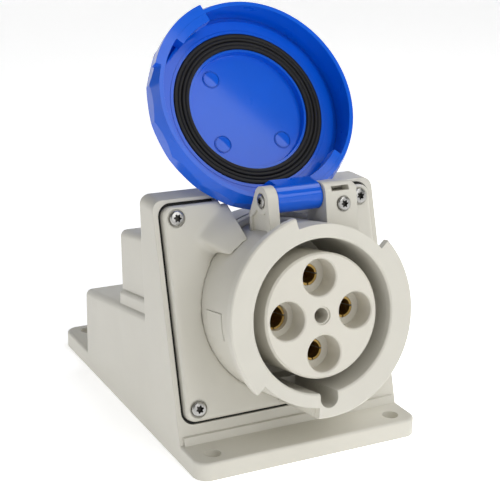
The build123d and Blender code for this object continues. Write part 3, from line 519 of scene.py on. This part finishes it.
class RECEPTACLE_OT_lid(bpy.types.Operator):
    """Finish the lid, its back and the bayonet ring as glossy blue mouldings"""
    bl_idname = "receptacle.lid"
    bl_label = "Lid and bayonet ring"

    def execute(self, context):
        tones, sizes = context.scene.receptacle_colours, context.scene.receptacle_sizes
        # Nylon from a polished tool: saturated blue, a soft gloss and wide reflections
        blue = moulded("moulded nylon, signal blue", tones.lid, 0.3, sizes.grain,
                       0.002 * MM, 0.04, 0.5 * MM, coat=0.7, level=0.1)
        dress(blue, "lid_body", "lid_back", "bayonet_ring", "ring_lip", "ring_lugs")
        # Ejector marks: discs a little domed, each inside a fine raised rim
        profile = [(0.0, 0.0), (4.25, 0.0), (4.25, 0.14), (4.15, 0.2), (4.02, 0.14), (3.98, 0.06)]
        profile += [(r, 0.06 + 0.22 * (1 - (r / 3.98) ** 2)) for r in (3.4, 2.7, 1.8, 0.9, 0.0)]
        for number, clock in enumerate(MARK_CLOCKS, 1):
            mark = spun(profile, 64)
            turn = math.radians(90 - clock)
            spot = Vector((MARK_CIRCLE * math.cos(turn), MARK_CIRCLE * math.sin(turn),
                           MARK_TOP)) * MM
            at_origin(mark, LID @ Matrix.Translation(spot))
            finished(mark, "lid_mark_%d" % number, blue, 40.0)
            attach(mark, "lid")
        return {"FINISHED"}


class RECEPTACLE_OT_seals(bpy.types.Operator):
    """Model the ribbed lid gasket and finish the flat seals as black rubber"""
    bl_idname = "receptacle.seals"
    bl_label = "Gasket and seals"

    def execute(self, context):
        tones, sizes = context.scene.receptacle_colours, context.scene.receptacle_sizes
        # EPDM rubber from a moulding tool: matt black with a faint brown bloom
        rubber = moulded_rubber("moulded rubber, black", tones.rubber)
        dress(rubber, "housing_seal", "entry_seal")
        lip = rim_strip(COVER_HALF_X, COVER_HALF_Y, COVER_CORNER, SEAL_OFFSETS, SEAL_HEIGHTS,
                        NOTCH_HALF)
        at_origin(lip, COVER)
        finished(lip, "seal_lip", rubber, 40.0)
        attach(lip, "base")
        outer, inner = sizes.gasket_outer / MM - 0.02, sizes.gasket_inner / MM + 0.02
        floor = GASKET_FLOOR + 0.02
        top = floor + sizes.gasket_depth / MM
        width = outer - inner
        half = [(0.0, -1.1), (0.03, -0.35), (0.06, -0.1), (0.1, 0.0), (0.2, -0.02), (0.24, -0.3),
                (0.27, -0.55), (0.3, -0.3), (0.34, -0.05), (0.42, -0.05), (0.46, -0.4)]
        rib = half + [(0.5, -1.4)] + [(1 - u, v) for u, v in reversed(half)]
        profile = [(inner, floor)] + [(inner + width * u, top + v) for u, v in rib]
        profile += [(outer, floor)]
        gasket = spun(profile, 128)
        at_origin(gasket, LID)
        finished(gasket, "gasket_ribbed", rubber, 50.0)
        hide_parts("lid_gasket")
        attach(gasket, "lid")
        return {"FINISHED"}


class RECEPTACLE_OT_contacts(bpy.types.Operator):
    """Finish the contact sleeves as turned brass"""
    bl_idname = "receptacle.contacts"
    bl_label = "Contacts"

    def execute(self, context):
        tones = context.scene.receptacle_colours
        # Free machining brass: warm yellow with tool rings, slightly dulled
        brass = turned_metal("turned brass", tones.brass, 0.42, SOCKET, 0.5 * MM, 0.01 * MM)
        dress(brass, "line_contact_1", "line_contact_2", "line_contact_3", "earth_contact",
              "pilot_contact")
        return {"FINISHED"}


class RECEPTACLE_OT_screws(bpy.types.Operator):
    """Model the star-drive screws of the cover and the hinge, and finish the hidden ones"""
    bl_idname = "receptacle.screws"
    bl_label = "Screws"

    def execute(self, context):
        tones, sizes = context.scene.receptacle_colours, context.scene.receptacle_sizes
        # Stainless steel, cold headed: grey on the dome; the recess gets painted shade, a darker
        # and rougher copy of the steel
        steel = turned_metal("cold headed stainless steel", tones.steel, 0.26, COVER, 0.6 * MM,
                             0.006 * MM)
        dull = turned_metal("cold headed stainless steel, recess", linear("55534F"), 0.55, COVER,
                            0.6 * MM, 0.006 * MM)
        dress(steel, "terminal_screws", "insert_screws", "carrier_screws")
        first = whole_screw("cover_screw_1", sizes.screw_head / MM, sizes.screw_height / MM,
                            1.9, 18.0, (steel, dull))
        copies = [first] + [copy_of(first, "cover_screw_%d" % n) for n in (2, 3, 4)]
        for screw, (x, y), turn in zip(copies, COVER_SCREWS, (0.2, 0.9, 0.5, 1.3)):
            spot = Matrix.Translation(Vector((x, y, SCREW_SEAT)) * MM)
            driven(screw, COVER @ spot @ Matrix.Rotation(turn, 4, "Z"), "cover_screws")

        radius = sizes.pin_head / MM
        lock = whole_screw("hinge_lock_star", radius, 2.2, 1.9, 12.0, (steel, dull))
        driven(lock, SOCKET @ Matrix.Translation(Vector(LOCK_SCREW) * MM),
               "hinge_lock_screw")
        pin = whole_screw("hinge_pin_star", radius, 1.8, 2.5, PIN_LENGTH, (steel, dull))
        outwards = Matrix.Translation(Vector(HINGE_POINT) * MM) @ Matrix.Rotation(
            math.radians(-90), 4, "Y")
        driven(pin, outwards @ Matrix.Translation((0, 0, PIN_SEAT * MM)), "hinge_pin")
        return {"FINISHED"}


class RECEPTACLE_OT_stage(bpy.types.Operator):
    """Set the pale floor, the soft lights and the camera"""
    bl_idname = "receptacle.stage"
    bl_label = "Stage"

    def execute(self, context):
        tones, stage = context.scene.receptacle_colours, context.scene.receptacle_stage
        nothing_selected()
        bpy.ops.mesh.primitive_plane_add(size=SHEET_WIDTH, location=(0, 0, 0))
        floor = context.object
        material, tree = blank_material("matt paper sweep", tones.floor)
        place = shade(tree, "TexCoord", {}).outputs["Object"]
        tooth = shade(tree, "TexNoise", {"Vector": place, "Scale": 900.0, "Detail": 2.0})
        relief = shade(tree, "Bump", {"Height": tooth.outputs["Fac"], "Strength": 0.05,
                                      "Distance": 0.05 * MM})
        paper = shade(tree, "BsdfPrincipled", {
            "Base Color": (*tones.floor, 1), "Roughness": 0.7, "Normal": relief.outputs["Normal"],
            "Emission Color": (*tones.floor, 1), "Emission Strength": 0.65})
        shade(tree, "OutputMaterial", {"Surface": paper.outputs["BSDF"]})
        bpy.ops.object.mode_set(mode="EDIT")
        # The sheet rises at its four edges, so that it is behind the object from every side
        bpy.ops.mesh.select_all(action="SELECT")
        bpy.ops.mesh.delete(type="ONLY_FACE")
        bpy.ops.mesh.select_all(action="SELECT")
        bpy.ops.mesh.extrude_region_move(TRANSFORM_OT_translate={"value": (0, 0, SHEET_RISE)})
        bpy.ops.mesh.select_all(action="DESELECT")
        mesh = bmesh.from_edit_mesh(floor.data)
        for edge in mesh.edges:
            edge.select = all(vertex.co.z < 0.1 for vertex in edge.verts)
        bmesh.update_edit_mesh(floor.data)
        bpy.ops.mesh.edge_face_add()
        bpy.ops.object.mode_set(mode="OBJECT")
        add_modifier(floor, "BEVEL", width=SHEET_BEND, segments=16, limit_method="ANGLE")
        apply_modifiers(floor)
        only(floor)
        bpy.ops.object.shade_smooth()
        floor.name = "floor_sweep"
        floor.data.materials.append(material)

        world = bpy.data.worlds.new("studio air")
        context.scene.world = world
        world.use_nodes = True
        world.node_tree.nodes.clear()
        air = shade(world.node_tree, "Background", {"Color": (1.0, 1.0, 1.0, 1), "Strength": 0.1})
        shade(world.node_tree, "OutputWorld", {"Surface": air.outputs["Background"]})
        context.scene.view_settings.view_transform = "Standard"

        aim = Vector((stage.aim_x, stage.aim_y, stage.aim_z))
        for name, (offset, width, edge) in LIGHTS.items():
            nothing_selected()
            spot = aim + Vector(offset)
            away = Vector(offset).normalized()
            side = Vector(edge)
            side = (side - away * side.dot(away)).normalized()
            turn = Matrix((side, away.cross(side), away)).transposed()
            bpy.ops.object.light_add(type="AREA", location=spot, rotation=turn.to_euler())
            lamp = context.object
            lamp.name = name
            lamp.data.energy, lamp.data.size = getattr(stage, name), width

        az, el = stage.azimuth, stage.elevation
        back = Vector((math.sin(az) * math.cos(el), -math.cos(az) * math.cos(el), math.sin(el)))
        turn = back.to_track_quat("Z", "Y").to_matrix() @ Matrix.Rotation(stage.roll, 3, "Z")
        nothing_selected()
        bpy.ops.object.camera_add(location=aim + back * stage.distance, rotation=turn.to_euler())
        camera = context.object
        camera.name = "photo_camera"
        camera.data.lens, camera.data.sensor_width = stage.lens, 36.0
        camera.data.clip_start, camera.data.clip_end = 0.01, 20.0
        context.scene.camera = camera
        return {"FINISHED"}


class RECEPTACLE_PT_panel(bpy.types.Panel):
    """Operators, sizes and colours of the receptacle"""
    bl_idname = "RECEPTACLE_PT_panel"
    bl_label = "Receptacle"
    bl_space_type = "VIEW_3D"
    bl_region_type = "UI"
    bl_category = "Receptacle"

    def draw(self, context):
        for step in STEPS:
            self.layout.operator(step.bl_idname)
        for group in (context.scene.receptacle_colours, context.scene.receptacle_sizes,
                      context.scene.receptacle_stage):
            box = self.layout.box()
            for name in group.__annotations__:
                box.prop(group, name)


GROUPS = {
    "receptacle_colours": ReceptacleColours,
    "receptacle_sizes": ReceptacleSizes,
    "receptacle_stage": ReceptacleStage,
}
STEPS = (
    RECEPTACLE_OT_stage, RECEPTACLE_OT_housing, RECEPTACLE_OT_insert, RECEPTACLE_OT_lid,
    RECEPTACLE_OT_seals, RECEPTACLE_OT_contacts, RECEPTACLE_OT_screws)
CLASSES = (*GROUPS.values(), *STEPS, RECEPTACLE_PT_panel)


def register():
    for kind in CLASSES:
        bpy.utils.register_class(kind)
    for name, group in GROUPS.items():
        setattr(bpy.types.Scene, name, PointerProperty(type=group))


def unregister():
    for name in GROUPS:
        delattr(bpy.types.Scene, name)
    for kind in reversed(CLASSES):
        bpy.utils.unregister_class(kind)


def main():
    register()
    bpy.ops.receptacle.stage()
    bpy.ops.receptacle.housing()
    bpy.ops.receptacle.insert()
    bpy.ops.receptacle.lid()
    bpy.ops.receptacle.seals()
    bpy.ops.receptacle.contacts()
    bpy.ops.receptacle.screws()
    nothing_selected()


if __name__ == "__main__":
    main()
